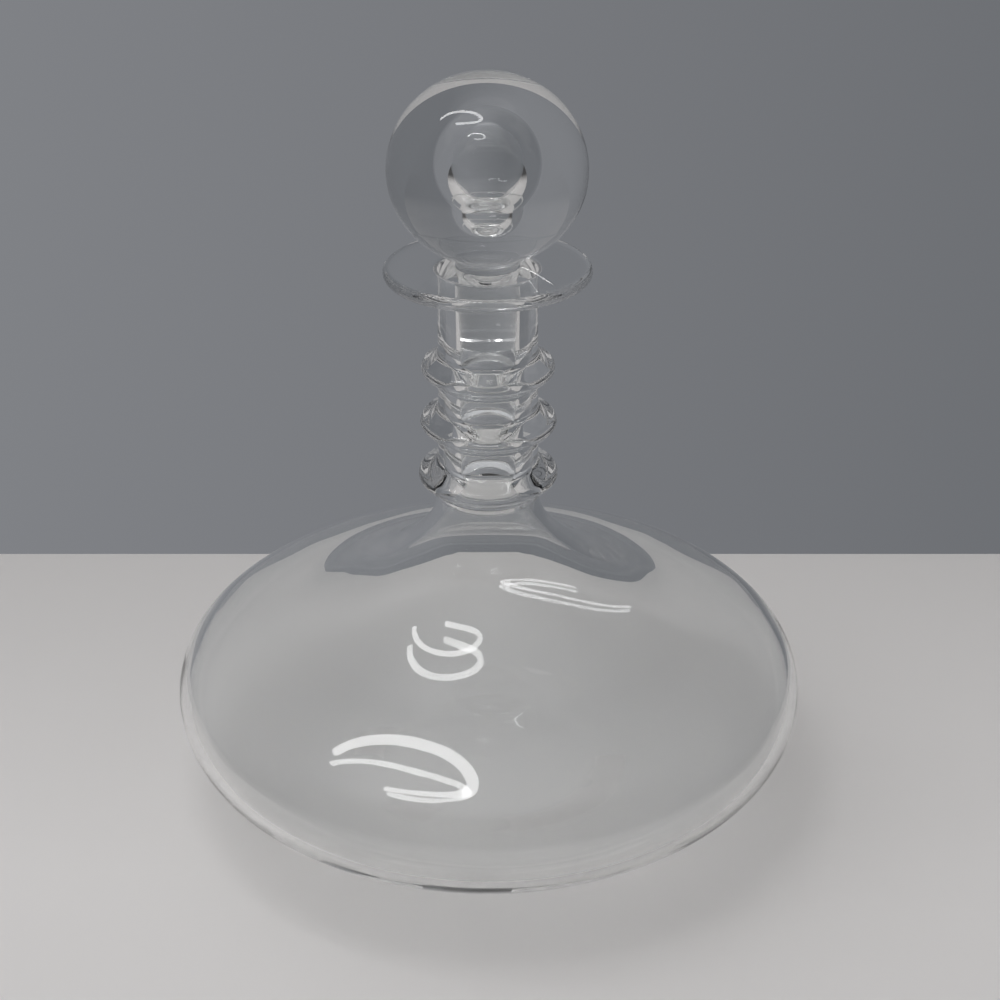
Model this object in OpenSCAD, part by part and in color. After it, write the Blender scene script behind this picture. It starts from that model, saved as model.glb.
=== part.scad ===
// Ships decanter of clear blown glass: a low wide bowl drawn up into a neck with three
// applied rings and a flat pouring lip, closed by a ball stopper on a tapered peg.
// The origin is the centre of the foot ring on the surface that the decanter stands on.

/* [Bowl] */
// Outer diameter of the bowl at its widest circle
bowl_d = 200; // [160:1:240]
// Height of the widest circle above the table
widest_h = 35; // [30:0.5:45]
// Radius of the bowl's edge above the widest circle
edge_r_upper = 17; // [12:0.5:24]
// Radius of the bowl's edge below the widest circle
edge_r_lower = 20; // [14:0.5:26]
// Angle that the upper edge turns through before the shoulder begins
edge_turn_upper = 62; // [50:1:70]
// Angle that the lower edge turns through before the underside begins
edge_turn_lower = 44; // [36:1:52]
// Radius of the shoulder's long curve
shoulder_r = 219; // [200:1:240]
// Radius of the same curve inside, where the wall grows towards the neck
inner_shoulder_r = 130; // [115:1:145]
// Thickness of the blown wall at the widest circle
bowl_wall = 3.2; // [2.4:0.1:4]

/* [Foot] */
// Width of the ring that the decanter stands on
foot_w = 10; // [4:0.5:16]
// Rise of the hollowed underside at its centre
kick_h = 0.8; // [0.4:0.1:2]
// Thickness of the floor
floor_t = 4.5; // [3:0.1:7]

/* [Neck] */
// Diameter of the bore
bore_d = 16.8; // [14:0.1:20]
// Thickness of the neck's wall at the lip
neck_wall = 6.2; // [4:0.1:8]
// Growth of the neck's outer diameter from the lip to its foot
neck_spread = 1.8; // [0:0.1:4]
// Length of the neck from the end of its flare to the top of the lip
neck_len = 73.3; // [65:0.1:90]
// Radius of the curve at the foot of the neck
outer_flare_r = 20; // [16:0.5:23]
// Angle that this curve turns through before the skirt begins
outer_flare_turn = 40; // [35:1:45]
// Radius of the skirt that runs from there out to the shoulder
outer_skirt_r = 80; // [65:1:95]
// Radius of the curve at the foot of the neck inside
inner_flare_r = 42; // [36:0.5:48]
// Angle that the inner curve turns through before the inner skirt
inner_flare_turn = 40; // [35:1:45]
// Radius of the skirt inside
inner_skirt_r = 90; // [75:1:105]

/* [Lip] */
// Diameter of the pouring lip
lip_d = 61.2; // [50:0.2:72]
// Thickness of the lip
lip_t = 3.8; // [2.5:0.1:5]
// Fillet under the lip, where it runs into the neck
lip_fillet = 1.5; // [1:0.1:3]

/* [Rings] */
// Diameter of the upper neck ring
ring_d = 40.2; // [37:0.1:46]
// Growth in diameter from each ring to the one below it
ring_growth = 1.4; // [0:0.1:2]
// Height of a ring where it is fused to the neck
ring_root_h = 9; // [7:0.1:11]
// Radius of a ring's rounded edge
ring_edge_r = 2.4; // [1.5:0.1:3]
// Height of the lowest ring's middle above the end of the flare
ring_rise = 5.8; // [5.6:0.1:9]
// Distance from each ring to the next
ring_pitch = 17.6; // [15:0.1:20]

/* [Stopper] */
// Diameter of the ball across its equator
ball_d = 57.8; // [48:0.2:66]
// Height that the ball would have without the flat that the peg joins
ball_h = 55; // [46:0.2:66]
// Length of the peg inside the mouth
peg_len = 24; // [18:0.5:30]
// Growth of the peg's diameter from its end to the mouth
peg_taper = 1.8; // [1:0.1:3]
// Rounding of the peg's lower edge
peg_edge_r = 1; // [0.5:0.1:2]
// Height of the short stem between the lip and the ball
stem_h = 2.2; // [1:0.1:5]
// Radial clearance of the peg in its socket
fit_gap = 0.1; // [0.05:0.01:0.3]

/* [Bubble in the ball] */
// Diameter of the air bubble
bubble_d = 21; // [18:0.2:22.6]
// Height of the bubble's middle above the ball's middle
bubble_rise = 1; // [0:0.1:4]
// Diameter where the round of the bubble ends
waist_d = 16.5; // [14:0.1:19]
// Diameter of the narrower base under the round
base_d = 13.5; // [11.4:0.1:15]
// Rounding of the base's lower edge
base_edge_r = 5.5; // [2:0.1:5.6]
// Depth of the base under the ball's middle
base_drop = 12.5; // [11.2:0.1:15]

/* [Hidden] */
// Angle between the points of a round stretch
arc_step = 4;
// Segments of every revolved form
revolve_fn = 120;
// Steps down the ball's outline
ball_steps = 36;
// Rings above the lowest one
rings_above = 2;
glass_tint = [0.86, 0.92, 0.93, 0.45];

// Points along an arc about c, from angle a0 to angle a1
function arc(c, r, a0, a1) =
    let (n = max(2, ceil(abs(a1 - a0) / arc_step)))
    [for (i = [0:n]) let (a = a0 + (a1 - a0) * i / n) c + r * [cos(a), sin(a)]];

// Points of a shallow dome of height h and half-width w that stands at height z, from the axis outwards
function dome(w, h, z) =
    let (r = (w * w + h * h) / (2 * h), reach = asin(w / r))
    arc([0, z + h - r], r, 90, 90 - reach);

// Points in the opposite order
function reversed(points) = [for (i = [len(points) - 1:-1:0]) points[i]];

// Bowl: the two edge arcs share the widest circle, and the shoulder and the underside leave them without a kink
bowl_r = bowl_d / 2;
upper_c = [bowl_r - edge_r_upper, widest_h];
lower_c = [bowl_r - edge_r_lower, widest_h];
upper_dir = [cos(edge_turn_upper), sin(edge_turn_upper)];
lower_dir = [cos(edge_turn_lower), -sin(edge_turn_lower)];
shoulder_c = upper_c + (edge_r_upper - shoulder_r) * upper_dir;
inner_shoulder_c = upper_c + (edge_r_upper - bowl_wall - inner_shoulder_r) * upper_dir;

// Underside: outside it runs level at the table, inside at the floor
function level_r(start, z) = (start.y - z) / (1 - sin(edge_turn_lower));
underside_start = lower_c + edge_r_lower * lower_dir;
underside_r = level_r(underside_start, 0);
underside_c = underside_start - underside_r * lower_dir;
foot_r = underside_c.x;
floor_start = lower_c + (edge_r_lower - bowl_wall) * lower_dir;
floor_r = level_r(floor_start, floor_t);
floor_c = floor_start - floor_r * lower_dir;

// Neck: a tight curve stands straight up at the neck, and a wide skirt leads from it onto the shoulder
bore_r = bore_d / 2;
mouth_r = bore_r + peg_taper / 2 + fit_gap;
neck_r_top = bore_r + neck_wall;
neck_r_foot = neck_r_top + neck_spread / 2;
function joint_dir(turn) = [-cos(turn), -sin(turn)];
function skirt_c(neck_r, flare_r, turn, skirt_r, c, r) =
    let (x = neck_r + flare_r + (flare_r - skirt_r) * joint_dir(turn).x)
    [x, c.y + sqrt(pow(r + skirt_r, 2) - pow(x - c.x, 2))];
function touch_angle(skirt, c) = atan2(c.y - skirt.y, c.x - skirt.x);
outer_skirt_c = skirt_c(neck_r_foot, outer_flare_r, outer_flare_turn, outer_skirt_r, shoulder_c, shoulder_r);
inner_skirt_c = skirt_c(bore_r, inner_flare_r, inner_flare_turn, inner_skirt_r, inner_shoulder_c, inner_shoulder_r);
outer_flare_c = outer_skirt_c + (outer_skirt_r - outer_flare_r) * joint_dir(outer_flare_turn);
inner_flare_c = inner_skirt_c + (inner_skirt_r - inner_flare_r) * joint_dir(inner_flare_turn);
outer_touch = touch_angle(outer_skirt_c, shoulder_c);
inner_touch = touch_angle(inner_skirt_c, inner_shoulder_c);
neck_foot_z = outer_flare_c.y;
lip_top_z = neck_foot_z + neck_len;
function neck_r_at(z) = neck_r_foot + (neck_r_top - neck_r_foot) * (z - neck_foot_z) / neck_len;

// Socket: the peg's own cone, opened by the clearance, down to where it meets the bore
taper = peg_taper / 2 / peg_len;
socket_depth = (mouth_r - bore_r) / taper;

// Stopper
ball_r = ball_d / 2;
stem_r = bore_r + taper * (peg_len + stem_h);
ball_flat_turn = -acos(stem_r / ball_r);
ball_flat_z = lip_top_z + stem_h;
ball_z = ball_flat_z - ball_h / 2 * sin(ball_flat_turn);
bubble_z = ball_z + bubble_rise;
base_z = ball_z - base_drop;
waist_turn = acos(waist_d / bubble_d);

// Outside of the bowl and neck, from the foot ring up to the mouth
function vessel_outside() = concat(
    dome(foot_r - foot_w, kick_h, 0),
    arc(underside_c, underside_r, -90, -edge_turn_lower),
    arc(lower_c, edge_r_lower, -edge_turn_lower, 0),
    arc(upper_c, edge_r_upper, 0, edge_turn_upper),
    arc(shoulder_c, shoulder_r, edge_turn_upper, 180 + outer_touch),
    arc(outer_skirt_c, outer_skirt_r, outer_touch, outer_flare_turn - 180),
    arc(outer_flare_c, outer_flare_r, outer_flare_turn - 180, -180),
    [[neck_r_top, lip_top_z]]);

// Inside, from the mouth down to the middle of the floor
function vessel_inside() = concat(
    [[mouth_r, lip_top_z], [bore_r, lip_top_z - socket_depth]],
    arc(inner_flare_c, inner_flare_r, -180, inner_flare_turn - 180),
    arc(inner_skirt_c, inner_skirt_r, inner_flare_turn - 180, inner_touch),
    arc(inner_shoulder_c, inner_shoulder_r, 180 + inner_touch, edge_turn_upper),
    arc(upper_c, edge_r_upper - bowl_wall, edge_turn_upper, 0),
    arc(lower_c, edge_r_lower - bowl_wall, 0, -edge_turn_lower),
    arc(floor_c, floor_r, -edge_turn_lower, -90),
    [[0, floor_t]]);

// Bowl and neck, blown as one bubble
module vessel() {
    color(glass_tint)
        rotate_extrude($fn = revolve_fn)
            polygon(concat(vessel_outside(), vessel_inside()));
}

// Flat pouring lip with a fully rounded edge, fused round the top of the neck
module lip() {
    edge_c = [lip_d / 2 - lip_t / 2, lip_top_z - lip_t / 2];
    fillet_z = lip_top_z - lip_t - lip_fillet;
    fillet_c = [neck_r_at(fillet_z) + lip_fillet, fillet_z];
    color(glass_tint)
        rotate_extrude($fn = revolve_fn)
            polygon(concat(
                [[neck_r_top, lip_top_z]],
                arc(edge_c, lip_t / 2, 90, -90),
                arc(fillet_c, lip_fillet, 90, 180)));
}

// Ring of glass wound round the neck: straight flanks that meet a rounded edge
module neck_ring(places_up) {
    z = neck_foot_z + ring_rise + places_up * ring_pitch;
    outer_r = ring_d / 2 + (rings_above - places_up) * ring_growth / 2;
    edge_c = [outer_r - ring_edge_r, z];
    root = [neck_r_at(z), z + ring_root_h / 2];
    toward_root = root - edge_c;
    flank_turn = atan2(toward_root.y, toward_root.x) - acos(ring_edge_r / norm(toward_root));
    low = z - ring_root_h / 2;
    high = z + ring_root_h / 2;
    color(glass_tint)
        rotate_extrude($fn = revolve_fn)
            polygon(concat(
                [[neck_r_at(low), low]],
                arc(edge_c, ring_edge_r, -flank_turn, flank_turn),
                [[neck_r_at(high), high]]));
}

module neck_ring_upper() { neck_ring(2); }
module neck_ring_middle() { neck_ring(1); }
module neck_ring_lower() { neck_ring(0); }

// Ball of the stopper: a little flatter than a sphere, with a round air bubble that steps in to a narrower base
module stopper_ball() {
    turns = [for (i = [0:ball_steps]) 90 + (ball_flat_turn - 90) * i / ball_steps];
    base_edge_c = [base_d / 2 - base_edge_r, base_z + base_edge_r];
    color(glass_tint)
        difference() {
            rotate_extrude($fn = revolve_fn)
                polygon(concat(
                    [[0, ball_flat_z]],
                    reversed([for (a = turns) [ball_r * cos(a), ball_z + ball_h / 2 * sin(a)]])));
            rotate_extrude($fn = revolve_fn)
                polygon(concat(
                    [[0, base_z]],
                    arc(base_edge_c, base_edge_r, -90, 0),
                    arc([0, bubble_z], bubble_d / 2, -waist_turn, 90)));
        }
}

// Tapered peg that fits the mouth, fused to the flat under the ball
module stopper_peg() {
    end_z = lip_top_z - peg_len;
    color(glass_tint)
        rotate_extrude($fn = revolve_fn)
            polygon(concat(
                [[0, end_z]],
                arc([bore_r - peg_edge_r, end_z + peg_edge_r], peg_edge_r, -90, 0),
                [[stem_r, ball_flat_z], [0, ball_flat_z]]));
}

vessel();
lip();
neck_ring_upper();
neck_ring_middle();
neck_ring_lower();
stopper_ball();
stopper_peg();
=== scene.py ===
import math

import bmesh
import bpy
from bpy.props import FloatProperty, FloatVectorProperty, IntProperty, PointerProperty
from mathutils import Matrix, Vector


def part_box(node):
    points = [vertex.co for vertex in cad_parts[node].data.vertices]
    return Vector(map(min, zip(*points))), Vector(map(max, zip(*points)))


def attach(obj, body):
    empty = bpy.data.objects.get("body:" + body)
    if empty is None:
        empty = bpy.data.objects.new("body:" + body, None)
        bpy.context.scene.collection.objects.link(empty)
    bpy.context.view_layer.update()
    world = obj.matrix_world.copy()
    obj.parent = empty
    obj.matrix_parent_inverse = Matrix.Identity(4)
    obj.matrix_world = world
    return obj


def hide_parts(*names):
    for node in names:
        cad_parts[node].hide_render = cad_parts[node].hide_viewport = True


bl_info = {
    "name": "Ships decanter",
    "version": (1, 0, 0),
    "blender": (4, 5, 0),
    "location": "View3D > Sidebar > Decanter",
    "description": "Turns the packed ships decanter into clear blown glass on a table",
    "category": "Add Mesh",
}

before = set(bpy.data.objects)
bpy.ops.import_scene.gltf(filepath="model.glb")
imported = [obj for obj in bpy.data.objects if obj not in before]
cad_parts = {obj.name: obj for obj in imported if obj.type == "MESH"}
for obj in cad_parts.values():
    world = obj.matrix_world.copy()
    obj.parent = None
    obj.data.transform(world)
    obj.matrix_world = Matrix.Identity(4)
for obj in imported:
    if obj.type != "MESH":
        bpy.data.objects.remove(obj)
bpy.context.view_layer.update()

RINGS = ("neck_ring_lower", "neck_ring_middle", "neck_ring_upper")

# Steps of the half sections, in metres and radians
LONGEST_STEP = 0.0024
FINEST_TURN = math.radians(6)
BALL_STEPS = 72
SAME_PLACE = 1e-6

# Each skin was worked by itself, so each has waves of its own
HANDS = {"decanter_glass": 0.0, "stopper_glass": 3.0, "stopper_bubble": 5.0}

# Blender takes the sensor and the focal length in millimetres
MILLIMETRES = 1000

BLACK = (0, 0, 0, 1)
WHITE = (1, 1, 1, 1)


class Freedom:
    """How far hand work moves a stretch of the skin, as a share of the waviness."""

    HELD = 0.0
    UNDERSIDE = 0.1
    LOWER_EDGE = 0.3
    FLOOR = 0.5
    THROAT = 0.6
    SKIN = 1.0
    LIP_EDGE = 2.5
    RING_CREST = 3.0


# Properties


def length(name, description, default):
    return FloatProperty(
        name=name, description=description, default=default, subtype="DISTANCE", unit="LENGTH"
    )


def angle(name, description, degrees):
    return FloatProperty(name=name, description=description, default=math.radians(degrees), subtype="ANGLE")


def amount(name, description, default):
    return FloatProperty(name=name, description=description, default=default, min=0.0)


def share(name, description, default):
    return FloatProperty(name=name, description=description, default=default, min=-1.0, max=1.0)


def colour(name, description, default):
    return FloatVectorProperty(name=name, description=description, default=default, subtype="COLOR", size=3)


class DecanterBowlSizes(bpy.types.PropertyGroup):
    """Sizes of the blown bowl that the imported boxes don't hold."""

    widest_height: length("Widest height", "Height of the widest circle over the table", 0.035)
    upper_edge: length("Upper edge", "Radius of the edge above the widest circle", 0.017)
    lower_edge: length("Lower edge", "Radius of the edge under the widest circle", 0.020)
    upper_turn: angle("Upper turn", "How far the upper edge turns before the shoulder", 62)
    lower_turn: angle("Lower turn", "How far the lower edge turns before the underside", 44)
    shoulder: length("Shoulder", "Radius of the long shoulder arc", 0.219)
    inner_shoulder: length("Inner shoulder", "Radius of the shoulder arc inside", 0.130)
    wall: length("Wall", "Thickness of the blown wall at its widest", 0.0032)
    foot_width: length("Foot width", "Width of the ring that it stands on", 0.010)
    kick: length("Kick", "Height of the hollow under the foot", 0.0008)
    floor: length("Floor", "Thickness of the glass over the foot ring", 0.0045)


class DecanterNeckSizes(bpy.types.PropertyGroup):
    """Sizes of the neck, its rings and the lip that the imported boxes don't hold."""

    bore_diameter: length("Bore", "Diameter of the straight bore", 0.0168)
    wall: length("Neck wall", "Thickness of the neck at the top", 0.0062)
    spread: length("Spread", "Growth of the neck's diameter from top to foot", 0.0018)
    outer_flare: length("Outer flare", "Radius of the neck's foot outside", 0.020)
    outer_turn: angle("Outer turn", "How far the neck's foot turns before the skirt outside", 40)
    outer_skirt: length("Outer skirt", "Radius of the slope onto the shoulder outside", 0.080)
    inner_flare: length("Inner flare", "Radius of the neck's foot inside", 0.042)
    inner_turn: angle("Inner turn", "How far the neck's foot turns before the skirt inside", 40)
    inner_skirt: length("Inner skirt", "Radius of the slope onto the shoulder inside", 0.090)
    ring_root: length("Ring root", "Height of a ring where it meets the neck", 0.009)
    ring_edge: length("Ring edge", "Radius of a ring's rounded edge", 0.0024)
    ring_fillet: length("Ring fillet", "Radius of the melt between ring and neck", 0.0024)
    lip_thickness: length("Lip", "Thickness of the lip", 0.0038)
    lip_fillet: length("Lip fillet", "Radius of the melt under the lip", 0.0015)
    mouth_rounding: length("Mouth rounding", "Radius of the mouth's upper edge", 0.0009)
    fit_gap: length("Fit gap", "Clearance between socket and peg", 0.0001)


class DecanterStopperSizes(bpy.types.PropertyGroup):
    """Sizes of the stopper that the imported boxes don't hold."""

    peg_edge: length("Peg edge", "Radius of the peg's lower edge", 0.001)
    peg_length: length("Peg length", "Length of the peg below the lip", 0.024)
    peg_taper: length("Peg taper", "Growth of the peg's diameter over its length", 0.0018)
    stem_fillet: length("Stem fillet", "Radius of the melt between stem and ball", 0.0012)
    bubble_diameter: length("Bubble", "Diameter of the air bubble", 0.021)
    bubble_rise: length("Bubble rise", "Height of the bubble over the ball's middle", 0.001)
    waist_diameter: length("Waist", "Diameter where the round of the bubble ends", 0.0165)
    base_diameter: length("Base", "Diameter of the bubble's narrower base", 0.0135)
    base_edge: length("Base edge", "Rounding of the base's lower edge", 0.0055)
    base_drop: length("Base drop", "Depth of the base under the ball's middle", 0.0125)


class DecanterGlassLook(bpy.types.PropertyGroup):
    """How the glass was worked and how it looks."""

    segments: IntProperty(name="Segments", description="Steps round each turned form", default=200, min=24)
    tint: colour("Tint", "Colour that the glass gives to light", (0.985, 0.99, 0.988))
    index: amount("Index", "Index of refraction", 1.5)
    waviness: length("Waviness", "Most that hand work moves the skin in or out", 0.00022)
    wave_length: length("Wave length", "Distance between the waves of the skin", 0.045)
    striae: amount("Striae", "Strength of the fine drawn lines in the skin", 0.05)
    striae_height: length("Striae height", "Height of the fine drawn lines", 0.0004)
    striae_count: FloatVectorProperty(
        name="Striae count",
        description="Fine drawn lines in a metre along each axis",
        default=(34.0, 34.0, 90.0),
        subtype="XYZ",
    )
    bounces: IntProperty(
        name="Bounces", description="How often light may turn in the glass", default=40, min=1
    )


class DecanterStageLook(bpy.types.PropertyGroup):
    """Table, room, lamp and camera."""

    table_tint: colour("Table", "Colour of the table", (0.80, 0.78, 0.775))
    table_width: length("Table width", "Width of the table", 12.0)
    table_front: length("Table front", "Distance from the decanter's axis to the table's front edge", 12.0)
    table_back: length("Table back", "Distance from the decanter's axis to the table's back edge", 0.1385)
    table_thickness: length("Table thickness", "Thickness of the table top", 0.03)
    table_roughness: amount("Table roughness", "Roughness of the table", 0.62)
    table_gloss: amount("Table gloss", "Strength of the table's reflections", 0.2)
    mottle: amount("Mottle", "Strength of the table's faint mottle", 0.03)
    mottle_count: amount("Mottle count", "Spots of the mottle in a metre", 9.0)
    # Painted shade: the table's colour gets darker towards the wall, standing in for the light that the wall
    # keeps off
    painted_shade_start: length("Shade start", "Depth from which the table gets darker towards the wall", -0.06)
    painted_wall_shade: amount("Table shade", "How much darker the table is at its back edge", 0.22)
    # Painted pool of light: the far table is given a darker colour, seen in the glass and by bounced light
    # but not by the camera
    painted_pool_edge: length("Pool edge", "Distance at which the table starts to fade in the glass", 0.26)
    painted_pool_end: length("Pool end", "Distance at which the table has faded in the glass", 0.60)
    painted_pool_shade: amount("Pool shade", "How much darker the far table is in the glass", 0.88)
    backdrop_left: colour("Backdrop left", "Colour of the wall at the left", (0.215, 0.222, 0.238))
    backdrop_right: colour("Backdrop right", "Colour of the wall at the right", (0.155, 0.162, 0.175))
    backdrop_reach: share("Backdrop reach", "Heading to the side at which the wall stops changing", 0.27)
    ceiling: colour("Ceiling", "Colour of the room overhead", (0.55, 0.56, 0.58))
    ceiling_start: angle("Ceiling start", "Height at which the wall starts to turn into the ceiling", 52)
    ceiling_full: angle("Ceiling full", "Height from which all is ceiling", 80)
    front: colour("Front", "Colour of the room behind the camera, in the glass", (0.04, 0.042, 0.046))
    front_start: share("Front start", "Heading in depth at which the room starts to turn dark", 0.1)
    front_full: share("Front full", "Heading in depth from which the room is dark", -0.4)
    room_light: amount("Room light", "Strength of the light from all round", 0.42)
    glass_light: amount("Glass light", "How much stronger the light is that falls through glass", 2.8)
    key_light: amount("Key light", "Strength of the broad soft light at the upper left", 0.65)
    key_edge: share("Key edge", "Cosine at the edge of the broad soft light", 0.5)
    key_heading: FloatVectorProperty(
        name="Key heading",
        description="Direction in which the broad soft light lies",
        default=(-0.55, 0.25, 0.8),
        subtype="DIRECTION",
    )
    lamp_glow: amount("Lamp glow", "Strength of the looped lamp", 9.0)
    lamp_place: FloatVectorProperty(
        name="Lamp place",
        description="Middle of the looped lamp",
        default=(-0.20, -0.02, 0.62),
        subtype="XYZ_LENGTH",
        unit="LENGTH",
    )
    lamp_length: length("Lamp length", "Half the length of the lamp's loop", 0.175)
    lamp_breadth: length("Lamp breadth", "Half the breadth of the lamp's loop", 0.060)
    lamp_slant: angle("Lamp slant", "Bearing of the loop's length", -23)
    lamp_tube: length("Lamp tube", "Radius of the lamp's tube", 0.012)
    lamp_gap: angle("Lamp gap", "Stretch of the loop that is dark", 110)
    lamp_turn: angle("Lamp turn", "Where on the loop the dark stretch lies", 215)
    sensor: length("Sensor", "Width of the camera's sensor", 0.036)
    focal: length("Focal length", "Focal length of the camera", 0.0648)
    nearest: length("Nearest", "Distance from which the camera sees", 0.01)
    pitch: angle("Pitch", "How far the camera looks down", 27.8)
    distance: length("Distance", "Distance from the camera to the decanter's axis", 0.560)
    aim: length("Aim", "Height on the axis that the camera looks at", 0.0977)
    offset: length("Offset", "Distance of the camera to the right of the axis", 0.0036)


class DecanterSettings(bpy.types.PropertyGroup):
    """All the sizes and looks that the operators read."""

    bowl: PointerProperty(type=DecanterBowlSizes)
    neck: PointerProperty(type=DecanterNeckSizes)
    stopper: PointerProperty(type=DecanterStopperSizes)
    glass: PointerProperty(type=DecanterGlassLook)
    stage: PointerProperty(type=DecanterStageLook)


# Half sections: points are (radius, height)


def turn(a):
    return Vector((math.cos(a), math.sin(a)))


def arc(centre, radius, start, end):
    """Points along an arc from angle start to angle end."""
    steps = max(abs(end - start) / FINEST_TURN, abs(end - start) * radius / LONGEST_STEP, 2)
    count = math.ceil(steps)
    return [centre + radius * turn(start + (end - start) * i / count) for i in range(count + 1)]


def dome(half_width, height, foot):
    """Points of a shallow cap from the axis outwards."""
    radius = (half_width ** 2 + height ** 2) / (2 * height)
    reach = math.asin(half_width / radius)
    return arc(Vector((0, foot + height - radius)), radius, math.pi / 2, math.pi / 2 - reach)


def fillet(before, corner, after, radius):
    """Points of the arc that rounds a corner between two straight stretches."""
    back = (before - corner).normalized()
    on = (after - corner).normalized()
    half = back.angle(on) / 2
    centre = corner + (back + on).normalized() * radius / math.sin(half)
    first = corner + back * radius / math.tan(half) - centre
    last = corner + on * radius / math.tan(half) - centre
    start = math.atan2(first.y, first.x)
    sweep = (math.atan2(last.y, last.x) - start + math.pi) % math.tau - math.pi
    return arc(centre, radius, start, start + sweep)


class Section:
    """Half section of a turned form, with how much hand work may move each point."""

    def __init__(self):
        self.points = []
        self.freedom = []

    def add(self, points, freedom):
        for point in points:
            self.step_to(point, freedom)

    def step_to(self, point, freedom):
        if self.points:
            start = self.points[-1]
            gap = (point - start).length
            if gap < SAME_PLACE:
                return
            count = math.ceil(gap / LONGEST_STEP)
            for i in range(1, count):
                self.points.append(start.lerp(point, i / count))
                self.freedom.append(freedom)
        self.points.append(point)
        self.freedom.append(freedom)

    def smooth_freedom(self, reach=6):
        """Freedom averaged along the section, so that the skin has no step."""
        near = [self.freedom[max(0, i - reach):i + reach + 1] for i in range(len(self.freedom))]
        self.freedom = [sum(values) / len(values) for values in near]


class NeckForm:
    """Sizes shared by the neck, the socket and the peg."""

    def __init__(self, settings):
        neck, stopper = settings.neck, settings.stopper
        self.bore = neck.bore_diameter / 2
        self.top_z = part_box("lip")[1].z
        self.top_r = self.bore + neck.wall
        self.foot_r = self.top_r + neck.spread / 2
        self.taper = stopper.peg_taper / 2 / stopper.peg_length
        self.mouth = self.bore + stopper.peg_taper / 2 + neck.fit_gap
        self.socket_z = self.top_z - (self.mouth - self.bore) / self.taper

    def radius_at(self, z, foot_z):
        return self.foot_r + (self.top_r - self.foot_r) * (z - foot_z) / (self.top_z - foot_z)


def bowl_arcs(settings):
    """Centres of the arcs over and under the widest circle and of the shoulder outside and inside."""
    bowl = settings.bowl
    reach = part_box("vessel")[1].x
    upper = Vector((reach - bowl.upper_edge, bowl.widest_height))
    lower = Vector((reach - bowl.lower_edge, bowl.widest_height))
    shoulder = upper + (bowl.upper_edge - bowl.shoulder) * turn(bowl.upper_turn)
    inner_shoulder = upper + (bowl.upper_edge - bowl.wall - bowl.inner_shoulder) * turn(bowl.upper_turn)
    return upper, lower, shoulder, inner_shoulder


def level_arc(start, a, height):
    """Centre and radius of the arc that leaves start at angle a and runs level at a height."""
    radius = (start.y - height) / (1 + math.sin(a))
    return start - radius * turn(a), radius


def flare_arcs(neck_r, flare_r, flare_turn, skirt_r, shoulder, shoulder_r):
    """Centres of the two arcs that lead from the upright neck out onto the shoulder."""
    joint = turn(math.pi + flare_turn)
    x = neck_r + flare_r + (flare_r - skirt_r) * joint.x
    skirt = Vector((x, shoulder.y + math.sqrt((shoulder_r + skirt_r) ** 2 - (x - shoulder.x) ** 2)))
    return skirt + (skirt_r - flare_r) * joint, skirt


def decanter_section(settings):
    """Outside from the hollow under the foot up to the mouth, then inside down to the floor."""
    bowl, neck = settings.bowl, settings.neck
    form = NeckForm(settings)
    upper, lower, shoulder, _ = bowl_arcs(settings)
    under, under_r = level_arc(lower + bowl.lower_edge * turn(-bowl.lower_turn), -bowl.lower_turn, 0)
    flare, skirt = flare_arcs(
        form.foot_r, neck.outer_flare, neck.outer_turn, neck.outer_skirt, shoulder, bowl.shoulder
    )
    touch = math.atan2(shoulder.y - skirt.y, shoulder.x - skirt.x)
    section = Section()
    section.add(dome(under.x - bowl.foot_width, bowl.kick, 0), Freedom.HELD)
    section.add(arc(under, under_r, -math.pi / 2, -bowl.lower_turn), Freedom.UNDERSIDE)
    section.add(arc(lower, bowl.lower_edge, -bowl.lower_turn, 0), Freedom.LOWER_EDGE)
    section.add(arc(upper, bowl.upper_edge, 0, bowl.upper_turn), Freedom.SKIN)
    section.add(arc(shoulder, bowl.shoulder, bowl.upper_turn, math.pi + touch), Freedom.SKIN)
    section.add(arc(skirt, neck.outer_skirt, touch, neck.outer_turn - math.pi), Freedom.SKIN)
    section.add(arc(flare, neck.outer_flare, neck.outer_turn - math.pi, -math.pi), Freedom.SKIN)
    for name in RINGS:
        add_ring(section, name, neck, form, flare.y)
    add_lip(section, neck, form, flare.y)
    add_inside(section, settings, form)
    section.smooth_freedom()
    return section


def add_ring(section, name, neck, form, foot_z):
    """One ring of wound glass: rounded edge, straight flanks and a melted root."""
    low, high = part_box(name)
    middle = (low.z + high.z) / 2
    edge = Vector((high.x - neck.ring_edge, middle))
    root = Vector((form.radius_at(middle, foot_z), middle + neck.ring_root / 2)) - edge
    flank = math.atan2(root.y, root.x) - math.acos(neck.ring_edge / root.length)
    lower_root = Vector((form.radius_at(low.z, foot_z), low.z))
    upper_root = Vector((form.radius_at(high.z, foot_z), high.z))
    below = Vector((form.radius_at(low.z - neck.ring_root, foot_z), low.z - neck.ring_root))
    above = Vector((form.radius_at(high.z + neck.ring_root, foot_z), high.z + neck.ring_root))
    crest = arc(edge, neck.ring_edge, -flank, flank)
    section.add(fillet(below, lower_root, crest[0], neck.ring_fillet), Freedom.SKIN)
    section.add(crest, Freedom.RING_CREST)
    section.add(fillet(crest[-1], upper_root, above, neck.ring_fillet), Freedom.SKIN)


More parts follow.
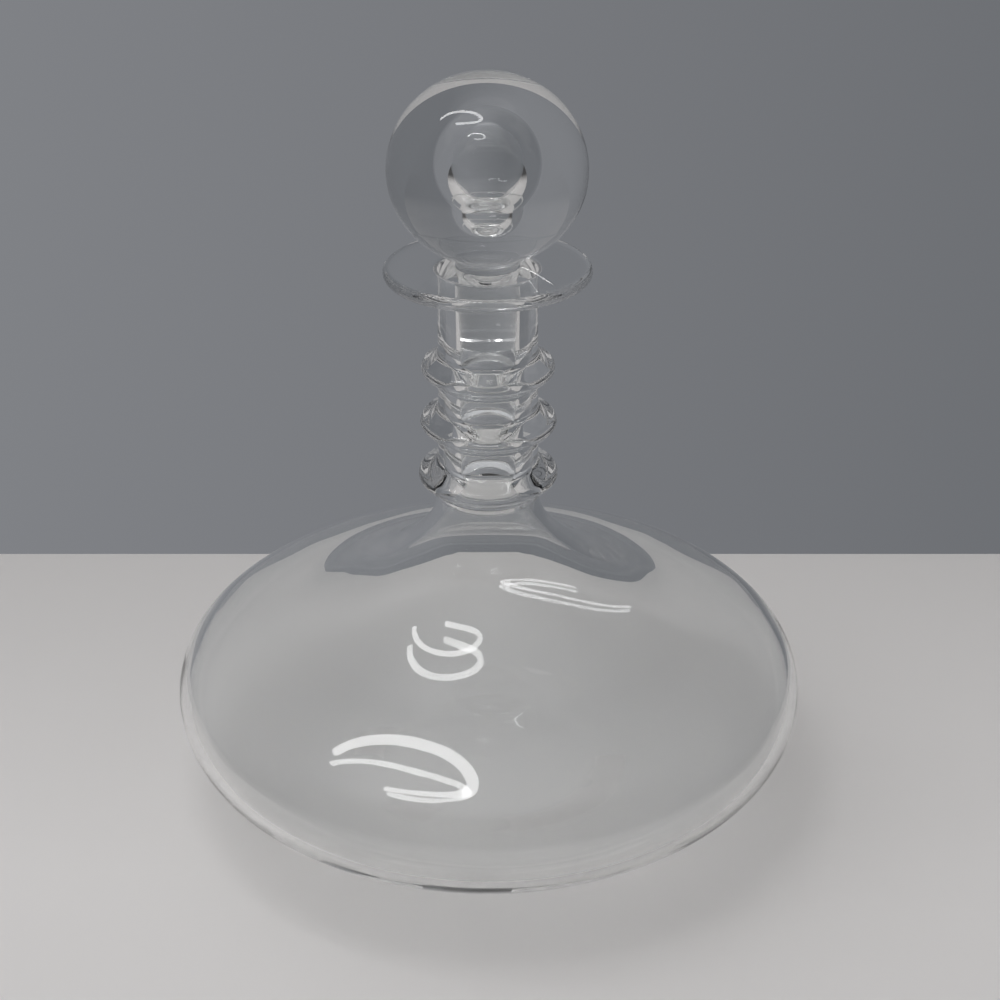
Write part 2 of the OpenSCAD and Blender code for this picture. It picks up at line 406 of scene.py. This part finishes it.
def add_lip(section, neck, form, foot_z):
    """Flat lip with a fully rounded edge, melted onto the top of the neck."""
    half = neck.lip_thickness / 2
    edge = Vector((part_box("lip")[1].x - half, form.top_z - half))
    fillet_z = form.top_z - neck.lip_thickness - neck.lip_fillet
    melt = Vector((form.radius_at(fillet_z, foot_z) + neck.lip_fillet, fillet_z))
    top = edge + Vector((0, half))
    mouth = Vector((form.mouth, form.top_z))
    socket = Vector((form.bore, form.socket_z))
    section.add(arc(melt, neck.lip_fillet, math.pi, math.pi / 2), Freedom.SKIN)
    section.add(arc(edge, half, -math.pi / 2, math.pi / 2), Freedom.LIP_EDGE)
    section.add(fillet(top, mouth, socket, neck.mouth_rounding), Freedom.HELD)


def add_inside(section, settings, form):
    """Socket, bore, inner flare, inside of the bowl and floor."""
    bowl, neck = settings.bowl, settings.neck
    upper, lower, _, shoulder = bowl_arcs(settings)
    flare, skirt = flare_arcs(
        form.bore, neck.inner_flare, neck.inner_turn, neck.inner_skirt, shoulder, bowl.inner_shoulder
    )
    touch = math.atan2(shoulder.y - skirt.y, shoulder.x - skirt.x)
    edge_r = bowl.lower_edge - bowl.wall
    floor, floor_r = level_arc(lower + edge_r * turn(-bowl.lower_turn), -bowl.lower_turn, bowl.floor)
    section.add([Vector((form.bore, form.socket_z))], Freedom.HELD)
    section.add(arc(flare, neck.inner_flare, -math.pi, neck.inner_turn - math.pi), Freedom.THROAT)
    section.add(arc(skirt, neck.inner_skirt, neck.inner_turn - math.pi, touch), Freedom.SKIN)
    section.add(arc(shoulder, bowl.inner_shoulder, math.pi + touch, bowl.upper_turn), Freedom.SKIN)
    section.add(arc(upper, bowl.upper_edge - bowl.wall, bowl.upper_turn, 0), Freedom.SKIN)
    section.add(arc(lower, edge_r, 0, -bowl.lower_turn), Freedom.LOWER_EDGE)
    section.add(arc(floor, floor_r, -bowl.lower_turn, -math.pi / 2), Freedom.FLOOR)
    section.add([Vector((0, bowl.floor))], Freedom.SKIN)


def ball_form(settings):
    """Height of the ball's middle, its half height and half width, and where its flat underside starts."""
    form = NeckForm(settings)
    low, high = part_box("stopper_ball")
    stem_r = form.bore + form.taper * (low.z - form.top_z + settings.stopper.peg_length)
    flat = math.acos(stem_r / high.x)
    half_height = (high.z - low.z) / (1 + math.sin(flat))
    return high.z - half_height, half_height, high.x, flat


def stopper_section(settings):
    """Outside of the stopper from the peg's end up over the ball."""
    stopper = settings.stopper
    form = NeckForm(settings)
    end = form.top_z - stopper.peg_length
    middle, half_height, half_width, flat = ball_form(settings)
    turns = [-flat + (math.pi / 2 + flat) * i / BALL_STEPS for i in range(BALL_STEPS + 1)]
    ball = [Vector((half_width * math.cos(a), middle + half_height * math.sin(a))) for a in turns]
    # The pole lies on the axis, so that the skin closes there
    ball[-1].x = 0
    edge = Vector((form.bore - stopper.peg_edge, end + stopper.peg_edge))
    section = Section()
    section.add([Vector((0, end))], Freedom.HELD)
    section.add(arc(edge, stopper.peg_edge, -math.pi / 2, 0), Freedom.HELD)
    section.add(fillet(Vector((form.bore, edge.y)), ball[0], ball[1], stopper.stem_fillet), Freedom.HELD)
    section.add(ball[2:], Freedom.SKIN)
    section.smooth_freedom()
    return section


def bubble_section(settings):
    """Air bubble from its top down: a round that steps in to a narrower base."""
    stopper = settings.stopper
    middle = ball_form(settings)[0]
    top = Vector((0, middle + stopper.bubble_rise))
    base = middle - stopper.base_drop
    edge = Vector((stopper.base_diameter / 2 - stopper.base_edge, base + stopper.base_edge))
    waist = -math.acos(stopper.waist_diameter / stopper.bubble_diameter)
    section = Section()
    section.add(arc(top, stopper.bubble_diameter / 2, math.pi / 2, waist), Freedom.SKIN)
    section.add(arc(edge, stopper.base_edge, 0, -math.pi / 2), Freedom.SKIN)
    section.add([Vector((0, base))], Freedom.SKIN)
    # The pole lies on the axis, so that the skin closes there
    section.points[0].x = 0
    return section


# Geometry Nodes: a half section turned round the axis, with the waves of hand work


class TreeWriter:
    """Adds nodes to a tree and joins them."""

    def __init__(self, tree):
        self.tree = tree

    def node(self, kind, inputs=None, **settings):
        made = self.tree.nodes.new(kind)
        for key, value in settings.items():
            setattr(made, key, value)
        for key, value in (inputs or {}).items():
            self.give(made.inputs[key], value)
        return made

    def give(self, socket, value):
        if isinstance(value, bpy.types.NodeSocket):
            self.tree.links.new(value, socket)
        else:
            socket.default_value = value

    def maths(self, operation, first, second=0.0, third=0.0):
        return self.node("ShaderNodeMath", {0: first, 1: second, 2: third}, operation=operation).outputs[0]

    def mix(self, factor, first, second):
        colours = {"Factor": factor, "A": first, "B": second}
        return self.node("ShaderNodeMix", colours, data_type="RGBA").outputs["Result"]

    def ramp(self, value, start, end, low=0.0, high=1.0, shape="LINEAR"):
        """Goes from low to high while the value goes from start to end."""
        span = {"Value": value, "From Min": start, "From Max": end, "To Min": low, "To Max": high}
        return self.node("ShaderNodeMapRange", span, interpolation_type=shape).outputs[0]


def turned_tree():
    """Node tree that turns the half section it is given into a closed skin."""
    tree = bpy.data.node_groups.new("turned_glass", "GeometryNodeTree")
    sockets = (
        ("Section", "NodeSocketGeometry"),
        ("Segments", "NodeSocketInt"),
        ("Waviness", "NodeSocketFloat"),
        ("Wave length", "NodeSocketFloat"),
        ("Hand", "NodeSocketFloat"),
        ("Glass", "NodeSocketMaterial"),
    )
    for name, kind in sockets:
        tree.interface.new_socket(name, in_out="INPUT", socket_type=kind)
    tree.interface.new_socket("Skin", in_out="OUTPUT", socket_type="NodeSocketGeometry")
    write = TreeWriter(tree)
    given = write.node("NodeGroupInput").outputs

    count = write.node("GeometryNodeAttributeDomainSize", {0: given["Section"]}).outputs["Point Count"]
    columns = write.maths("ADD", given["Segments"], 1.0)
    grid = write.node("GeometryNodeMeshGrid", {"Vertices X": count, "Vertices Y": columns})
    index = write.node("GeometryNodeInputIndex").outputs[0]
    # Half a step more keeps rounding from putting a point in the row before
    row = write.maths("FLOOR", write.maths("DIVIDE", write.maths("ADD", index, 0.5), columns))
    column = write.maths("SUBTRACT", index, write.maths("MULTIPLY", row, columns))
    wrapped = write.maths("FLOORED_MODULO", column, given["Segments"])
    around = write.maths("MULTIPLY", write.maths("DIVIDE", wrapped, given["Segments"]), math.tau)

    place = write.node("GeometryNodeInputPosition").outputs[0]
    sampled = write.node(
        "GeometryNodeSampleIndex",
        {"Geometry": given["Section"], "Value": place, "Index": row},
        data_type="FLOAT_VECTOR",
    ).outputs[0]
    parts = write.node("ShaderNodeSeparateXYZ", {0: sampled}).outputs
    x = write.maths("MULTIPLY", parts["X"], write.maths("COSINE", around))
    y = write.maths("MULTIPLY", parts["X"], write.maths("SINE", around))
    spot = write.node("ShaderNodeCombineXYZ", {0: x, 1: y, 2: parts["Z"]}).outputs[0]
    skin = write.node("GeometryNodeSetPosition", {"Geometry": grid.outputs["Mesh"], "Position": spot})
    held = write.node("GeometryNodeInputNamedAttribute", {"Name": "freedom"}, data_type="FLOAT").outputs[0]
    freedom = write.node(
        "GeometryNodeSampleIndex",
        {"Geometry": given["Section"], "Value": held, "Index": row},
        data_type="FLOAT",
    )
    kept = write.node(
        "GeometryNodeStoreNamedAttribute",
        {"Geometry": skin.outputs[0], "Name": "freedom", "Value": freedom.outputs[0]},
        data_type="FLOAT",
        domain="POINT",
    )
    closed = write.node("GeometryNodeMergeByDistance", {"Geometry": kept.outputs[0], "Distance": SAME_PLACE})

    scale = write.maths("DIVIDE", 1.0, given["Wave length"])
    noise = write.node(
        "ShaderNodeTexNoise",
        {"Vector": place, "W": given["Hand"], "Scale": scale, "Detail": 1.0},
        noise_dimensions="4D",
    ).outputs[0]
    # The noise from 0 to 1 becomes a swing from -1 to 1
    swing = write.maths("MULTIPLY", write.maths("SUBTRACT", noise, 0.5), 2.0)
    shift = write.maths("MULTIPLY", write.maths("MULTIPLY", swing, given["Waviness"]), held)
    normal = write.node("GeometryNodeInputNormal").outputs[0]
    push = write.node("ShaderNodeVectorMath", {0: normal, "Scale": shift}, operation="SCALE").outputs[0]
    waved = write.node("GeometryNodeSetPosition", {"Geometry": closed.outputs[0], "Offset": push})
    bare = write.node("GeometryNodeRemoveAttribute", {"Geometry": waved.outputs[0], "Name": "freedom"})
    smooth = write.node("GeometryNodeSetShadeSmooth", {"Geometry": bare.outputs[0]})
    real = write.node("GeometryNodeRealizeInstances", {0: smooth.outputs[0]})
    glazed = write.node("GeometryNodeSetMaterial", {"Geometry": real.outputs[0], "Material": given["Glass"]})
    write.node("NodeGroupOutput", {0: glazed.outputs[0]})
    return tree


def turned_mesh(name, section, settings, material):
    """Plain mesh of a half section turned round Z, with the waves of its own hand work."""
    look = settings.glass
    outline = bpy.data.meshes.new(name + "_section")
    outline.from_pydata([(p.x, 0, p.y) for p in section.points], [], [])
    outline.attributes.new("freedom", "FLOAT", "POINT").data.foreach_set("value", section.freedom)
    holder = bpy.data.objects.new(name + "_section", outline)
    bpy.context.scene.collection.objects.link(holder)
    tree = bpy.data.node_groups.get("turned_glass") or turned_tree()
    modifier = holder.modifiers.new("turned", "NODES")
    modifier.node_group = tree
    given = {
        "Segments": look.segments,
        "Waviness": look.waviness,
        "Wave length": look.wave_length,
        "Hand": HANDS[name],
        "Glass": material,
    }
    for item in tree.interface.items_tree:
        if item.in_out == "INPUT" and item.name in given:
            modifier[item.identifier] = given[item.name]
    depsgraph = bpy.context.evaluated_depsgraph_get()
    mesh = bpy.data.meshes.new_from_object(holder.evaluated_get(depsgraph))
    mesh.name = name
    bpy.data.objects.remove(holder)
    bpy.data.meshes.remove(outline)
    if not mesh.polygons:
        raise RuntimeError(name + " came out of the node tree empty")
    return mesh


def face_outwards(mesh, inward=False):
    """Turns the faces of a closed mesh out of its space, or into it for a bubble."""
    shape = bmesh.new()
    shape.from_mesh(mesh)
    open_edges = [edge for edge in shape.edges if len(edge.link_faces) != 2]
    if open_edges:
        raise RuntimeError(mesh.name + " isn't closed")
    if (shape.calc_volume(signed=True) < 0) != inward:
        bmesh.ops.reverse_faces(shape, faces=shape.faces)
    shape.to_mesh(mesh)
    shape.free()


def add_piece(name, mesh, body, nodes):
    """Object for a finished mesh that stands for CAD nodes and moves with their body."""
    piece = bpy.data.objects.new(name, mesh)
    bpy.context.scene.collection.objects.link(piece)
    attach(piece, body)
    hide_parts(*nodes)
    return piece


# Materials


def glass_material(name, look):
    """Clear blown glass: a faint tint and the fine lines that drawing leaves in the skin."""
    material = bpy.data.materials.new(name)
    material.use_nodes = True
    shader = material.node_tree.nodes["Principled BSDF"]
    shader.inputs["Base Color"].default_value = (*look.tint, 1)
    shader.inputs["Roughness"].default_value = 0.0
    shader.inputs["IOR"].default_value = look.index
    shader.inputs["Transmission Weight"].default_value = 1.0
    write = TreeWriter(material.node_tree)
    place = write.node("ShaderNodeTexCoord").outputs["Object"]
    drawn = write.node("ShaderNodeMapping", {"Vector": place, "Scale": look.striae_count}).outputs[0]
    lines = write.node("ShaderNodeTexNoise", {"Vector": drawn, "Scale": 1.0, "Detail": 2.0}).outputs[0]
    bump = write.node(
        "ShaderNodeBump", {"Strength": look.striae, "Distance": look.striae_height, "Height": lines}
    )
    write.give(shader.inputs["Normal"], bump.outputs[0])
    return material


def table_material(look):
    """Pale matt table top with painted shade that makes it a little darker towards the wall, and a painted
    pool of light whose far parts fade in the glass.
    """
    material = bpy.data.materials.new("table_top")
    material.use_nodes = True
    shader = material.node_tree.nodes["Principled BSDF"]
    write = TreeWriter(material.node_tree)
    place = write.node("ShaderNodeTexCoord").outputs["Object"]
    depth = write.node("ShaderNodeSeparateXYZ", {0: place}).outputs["Y"]
    # Painted shade: the colour darkens from the shade start to the back edge, towards the wall
    shade = write.ramp(depth, look.painted_shade_start, look.table_back, high=look.painted_wall_shade)
    # Painted pool of light: beyond the pool edge the colour fades to dark for every ray but camera rays
    away = write.node("ShaderNodeVectorMath", {0: place}, operation="LENGTH").outputs["Value"]
    painted_pool_fade = write.ramp(away, look.painted_pool_edge, look.painted_pool_end, high=look.painted_pool_shade, shape="SMOOTHSTEP")
    straight = write.node("ShaderNodeLightPath").outputs["Is Camera Ray"]
    faded = write.maths("MULTIPLY", painted_pool_fade, write.maths("SUBTRACT", 1.0, straight))
    spots = write.node(
        "ShaderNodeTexNoise", {"Vector": place, "Scale": look.mottle_count, "Detail": 3.0}
    ).outputs[0]
    uneven = write.maths("MULTIPLY_ADD", spots, look.mottle, write.maths("MAXIMUM", shade, faded))
    tone = write.mix(uneven, (*look.table_tint, 1), BLACK)
    shader.inputs["Roughness"].default_value = look.table_roughness
    shader.inputs["Specular IOR Level"].default_value = look.table_gloss
    write.give(shader.inputs["Base Color"], tone)
    return material


def glow_material(name, strength):
    """Even white glow of a lamp."""
    material = bpy.data.materials.new(name)
    material.use_nodes = True
    shader = material.node_tree.nodes["Principled BSDF"]
    shader.inputs["Base Color"].default_value = BLACK
    shader.inputs["Emission Color"].default_value = WHITE
    shader.inputs["Emission Strength"].default_value = strength
    return material


# Stage


def add_table(look):
    """Slab whose back edge is the line behind the decanter."""
    shape = bmesh.new()
    bmesh.ops.create_cube(shape, size=1)
    low = Vector((-look.table_width / 2, -look.table_front, -look.table_thickness))
    high = Vector((look.table_width / 2, look.table_back, 0))
    for vert in shape.verts:
        vert.co = Vector((b if c > 0 else a for a, b, c in zip(low, high, vert.co)))
    mesh = bpy.data.meshes.new("table")
    shape.to_mesh(mesh)
    shape.free()
    table = bpy.data.objects.new("table", mesh)
    mesh.materials.append(table_material(look))
    bpy.context.scene.collection.objects.link(table)


def add_lamp(look):
    """Long loop of glowing tube overhead, open at one end, which the glass mirrors as hairpins."""
    rounds, sides = 64, 12
    verts, faces = [], []
    slant = Matrix.Rotation(look.lamp_slant, 3, "Z")
    sweep = math.tau - look.lamp_gap
    for i in range(rounds + 1):
        along, across = turn(look.lamp_turn + look.lamp_gap / 2 + sweep * i / rounds)
        spot = slant @ Vector((look.lamp_length * along, look.lamp_breadth * across, 0))
        out = slant @ Vector((look.lamp_breadth * along, look.lamp_length * across, 0)).normalized()
        for j in range(sides):
            level, up = turn(math.tau * j / sides)
            ring = out * level + Vector((0, 0, up))
            verts.append(Vector(look.lamp_place) + spot + look.lamp_tube * ring)
    for i in range(rounds):
        for j in range(sides):
            here, following, step = i * sides, (i + 1) * sides, (j + 1) % sides
            faces.append((here + j, following + j, following + step, here + step))
    faces.append(tuple(range(sides)))
    faces.append(tuple(range(rounds * sides, (rounds + 1) * sides))[::-1])
    mesh = bpy.data.meshes.new("lamp")
    mesh.from_pydata(verts, [], faces)
    mesh.materials.append(glow_material("lamp_glow", look.lamp_glow))
    lamp = bpy.data.objects.new("lamp", mesh)
    lamp.visible_camera = False
    bpy.context.scene.collection.objects.link(lamp)


def room_seen(write, heading, path, look):
    """What shows behind and in the glass: a grey wall, the ceiling and a dark room in front."""
    parts = write.node("ShaderNodeSeparateXYZ", {0: heading}).outputs
    side = write.ramp(parts["X"], -look.backdrop_reach, look.backdrop_reach)
    ahead = write.ramp(parts["Y"], look.front_start, look.front_full)
    height = write.ramp(parts["Z"], math.sin(look.ceiling_start), math.sin(look.ceiling_full))
    in_glass = write.maths("SUBTRACT", 1.0, path["Is Camera Ray"])
    wall = write.mix(side, (*look.backdrop_left, 1), (*look.backdrop_right, 1))
    walls = write.mix(write.maths("MULTIPLY", ahead, in_glass), wall, (*look.front, 1))
    room = write.mix(height, walls, (*look.ceiling, 1))
    return write.node("ShaderNodeBackground", {"Color": room, "Strength": 1.0}).outputs[0]


def room_light(write, heading, path, look):
    """Soft light from all round with a broad key, stronger where it falls through glass."""
    key = Vector(look.key_heading).normalized()
    facing = write.node("ShaderNodeVectorMath", {0: heading, 1: key}, operation="DOT_PRODUCT")
    most = look.room_light + look.key_light
    soft = write.ramp(
        facing.outputs["Value"], look.key_edge, 1.0, look.room_light, most, shape="SMOOTHSTEP"
    )
    through = write.ramp(path["Is Transmission Ray"], 0.0, 1.0, 1.0, look.glass_light)
    strength = write.maths("MULTIPLY", soft, through)
    return write.node("ShaderNodeBackground", {"Color": WHITE, "Strength": strength}).outputs[0]


def add_room(look):
    """World that the camera and the glass see as a room, and that lights the table softly."""
    world = bpy.data.worlds.new("room")
    bpy.context.scene.world = world
    world.use_nodes = True
    world.node_tree.nodes.clear()
    write = TreeWriter(world.node_tree)
    heading = write.node("ShaderNodeTexCoord").outputs["Generated"]
    path = write.node("ShaderNodeLightPath").outputs
    mirrored = write.maths("MAXIMUM", path["Is Glossy Ray"], path["Is Transmission Ray"])
    clear = write.maths("MAXIMUM", path["Is Camera Ray"], mirrored)
    # Once a ray has met the table, it meets the soft light in place of the room
    straight = write.maths("MULTIPLY", clear, write.maths("LESS_THAN", path["Diffuse Depth"], 0.5))
    light = room_light(write, heading, path, look)
    seen = room_seen(write, heading, path, look)
    shown = write.node("ShaderNodeMixShader", {0: straight, 1: light, 2: seen})
    write.node("ShaderNodeOutputWorld", {0: shown.outputs[0]})


def add_camera(look):
    """Camera at the photograph's angle."""
    data = bpy.data.cameras.new("camera")
    data.sensor_width = look.sensor * MILLIMETRES
    data.lens = look.focal * MILLIMETRES
    data.clip_start = look.nearest
    camera = bpy.data.objects.new("camera", data)
    ahead = look.distance * math.cos(look.pitch)
    camera.location = (look.offset, -ahead, look.aim + look.distance * math.sin(look.pitch))
    camera.rotation_euler = (math.pi / 2 - look.pitch, 0, 0)
    bpy.context.scene.collection.objects.link(camera)
    bpy.context.scene.camera = camera


# Operators and panel


class DECANTER_OT_vessel(bpy.types.Operator):
    """Bowl, neck, rings and lip as one skin of blown glass"""

    bl_idname = "decanter.vessel"
    bl_label = "Decanter glass"

    def execute(self, context):
        settings = context.scene.decanter
        glass = glass_material("clear_glass", settings.glass)
        mesh = turned_mesh("decanter_glass", decanter_section(settings), settings, glass)
        face_outwards(mesh)
        add_piece("decanter_glass", mesh, "decanter", ("vessel", "lip", *RINGS))
        return {"FINISHED"}


class DECANTER_OT_stopper(bpy.types.Operator):
    """Ball, peg and air bubble as one piece of solid glass"""

    bl_idname = "decanter.stopper"
    bl_label = "Stopper glass"

    def execute(self, context):
        settings = context.scene.decanter
        glass = glass_material("stopper_glass", settings.glass)
        mesh = turned_mesh("stopper_glass", stopper_section(settings), settings, glass)
        bubble = turned_mesh("stopper_bubble", bubble_section(settings), settings, glass)
        face_outwards(mesh)
        face_outwards(bubble, inward=True)
        shape = bmesh.new()
        shape.from_mesh(mesh)
        shape.from_mesh(bubble)
        shape.to_mesh(mesh)
        shape.free()
        bpy.data.meshes.remove(bubble)
        add_piece("stopper_glass", mesh, "stopper", ("stopper_ball", "stopper_peg"))
        return {"FINISHED"}


class DECANTER_OT_stage(bpy.types.Operator):
    """Table, room, lamp and camera"""

    bl_idname = "decanter.stage"
    bl_label = "Stage"

    def execute(self, context):
        settings = context.scene.decanter
        look = settings.stage
        add_table(look)
        add_lamp(look)
        add_room(look)
        add_camera(look)
        context.scene.view_settings.view_transform = "Standard"
        cycles = context.scene.cycles
        cycles.max_bounces = settings.glass.bounces
        cycles.transmission_bounces = settings.glass.bounces
        cycles.glossy_bounces = settings.glass.bounces
        return {"FINISHED"}


class DECANTER_PT_panel(bpy.types.Panel):
    """Sizes, looks and builders of the decanter"""

    bl_idname = "DECANTER_PT_panel"
    bl_label = "Ships decanter"
    bl_space_type = "VIEW_3D"
    bl_region_type = "UI"
    bl_category = "Decanter"

    def draw(self, context):
        settings = context.scene.decanter
        for name in ("bowl", "neck", "stopper", "glass", "stage"):
            group = getattr(settings, name)
            box = self.layout.box()
            box.label(text=name.capitalize())
            for key in group.__annotations__:
                box.prop(group, key)
        for operator in (DECANTER_OT_vessel, DECANTER_OT_stopper, DECANTER_OT_stage):
            self.layout.operator(operator.bl_idname)


CLASSES = (
    DecanterBowlSizes,
    DecanterNeckSizes,
    DecanterStopperSizes,
    DecanterGlassLook,
    DecanterStageLook,
    DecanterSettings,
    DECANTER_OT_vessel,
    DECANTER_OT_stopper,
    DECANTER_OT_stage,
    DECANTER_PT_panel,
)


def register():
    for kind in CLASSES:
        bpy.utils.register_class(kind)
    bpy.types.Scene.decanter = PointerProperty(type=DecanterSettings)


def unregister():
    del bpy.types.Scene.decanter
    for kind in reversed(CLASSES):
        bpy.utils.unregister_class(kind)


def main():
    register()
    bpy.ops.decanter.vessel()
    bpy.ops.decanter.stopper()
    bpy.ops.decanter.stage()


if __name__ == "__main__":
    main()
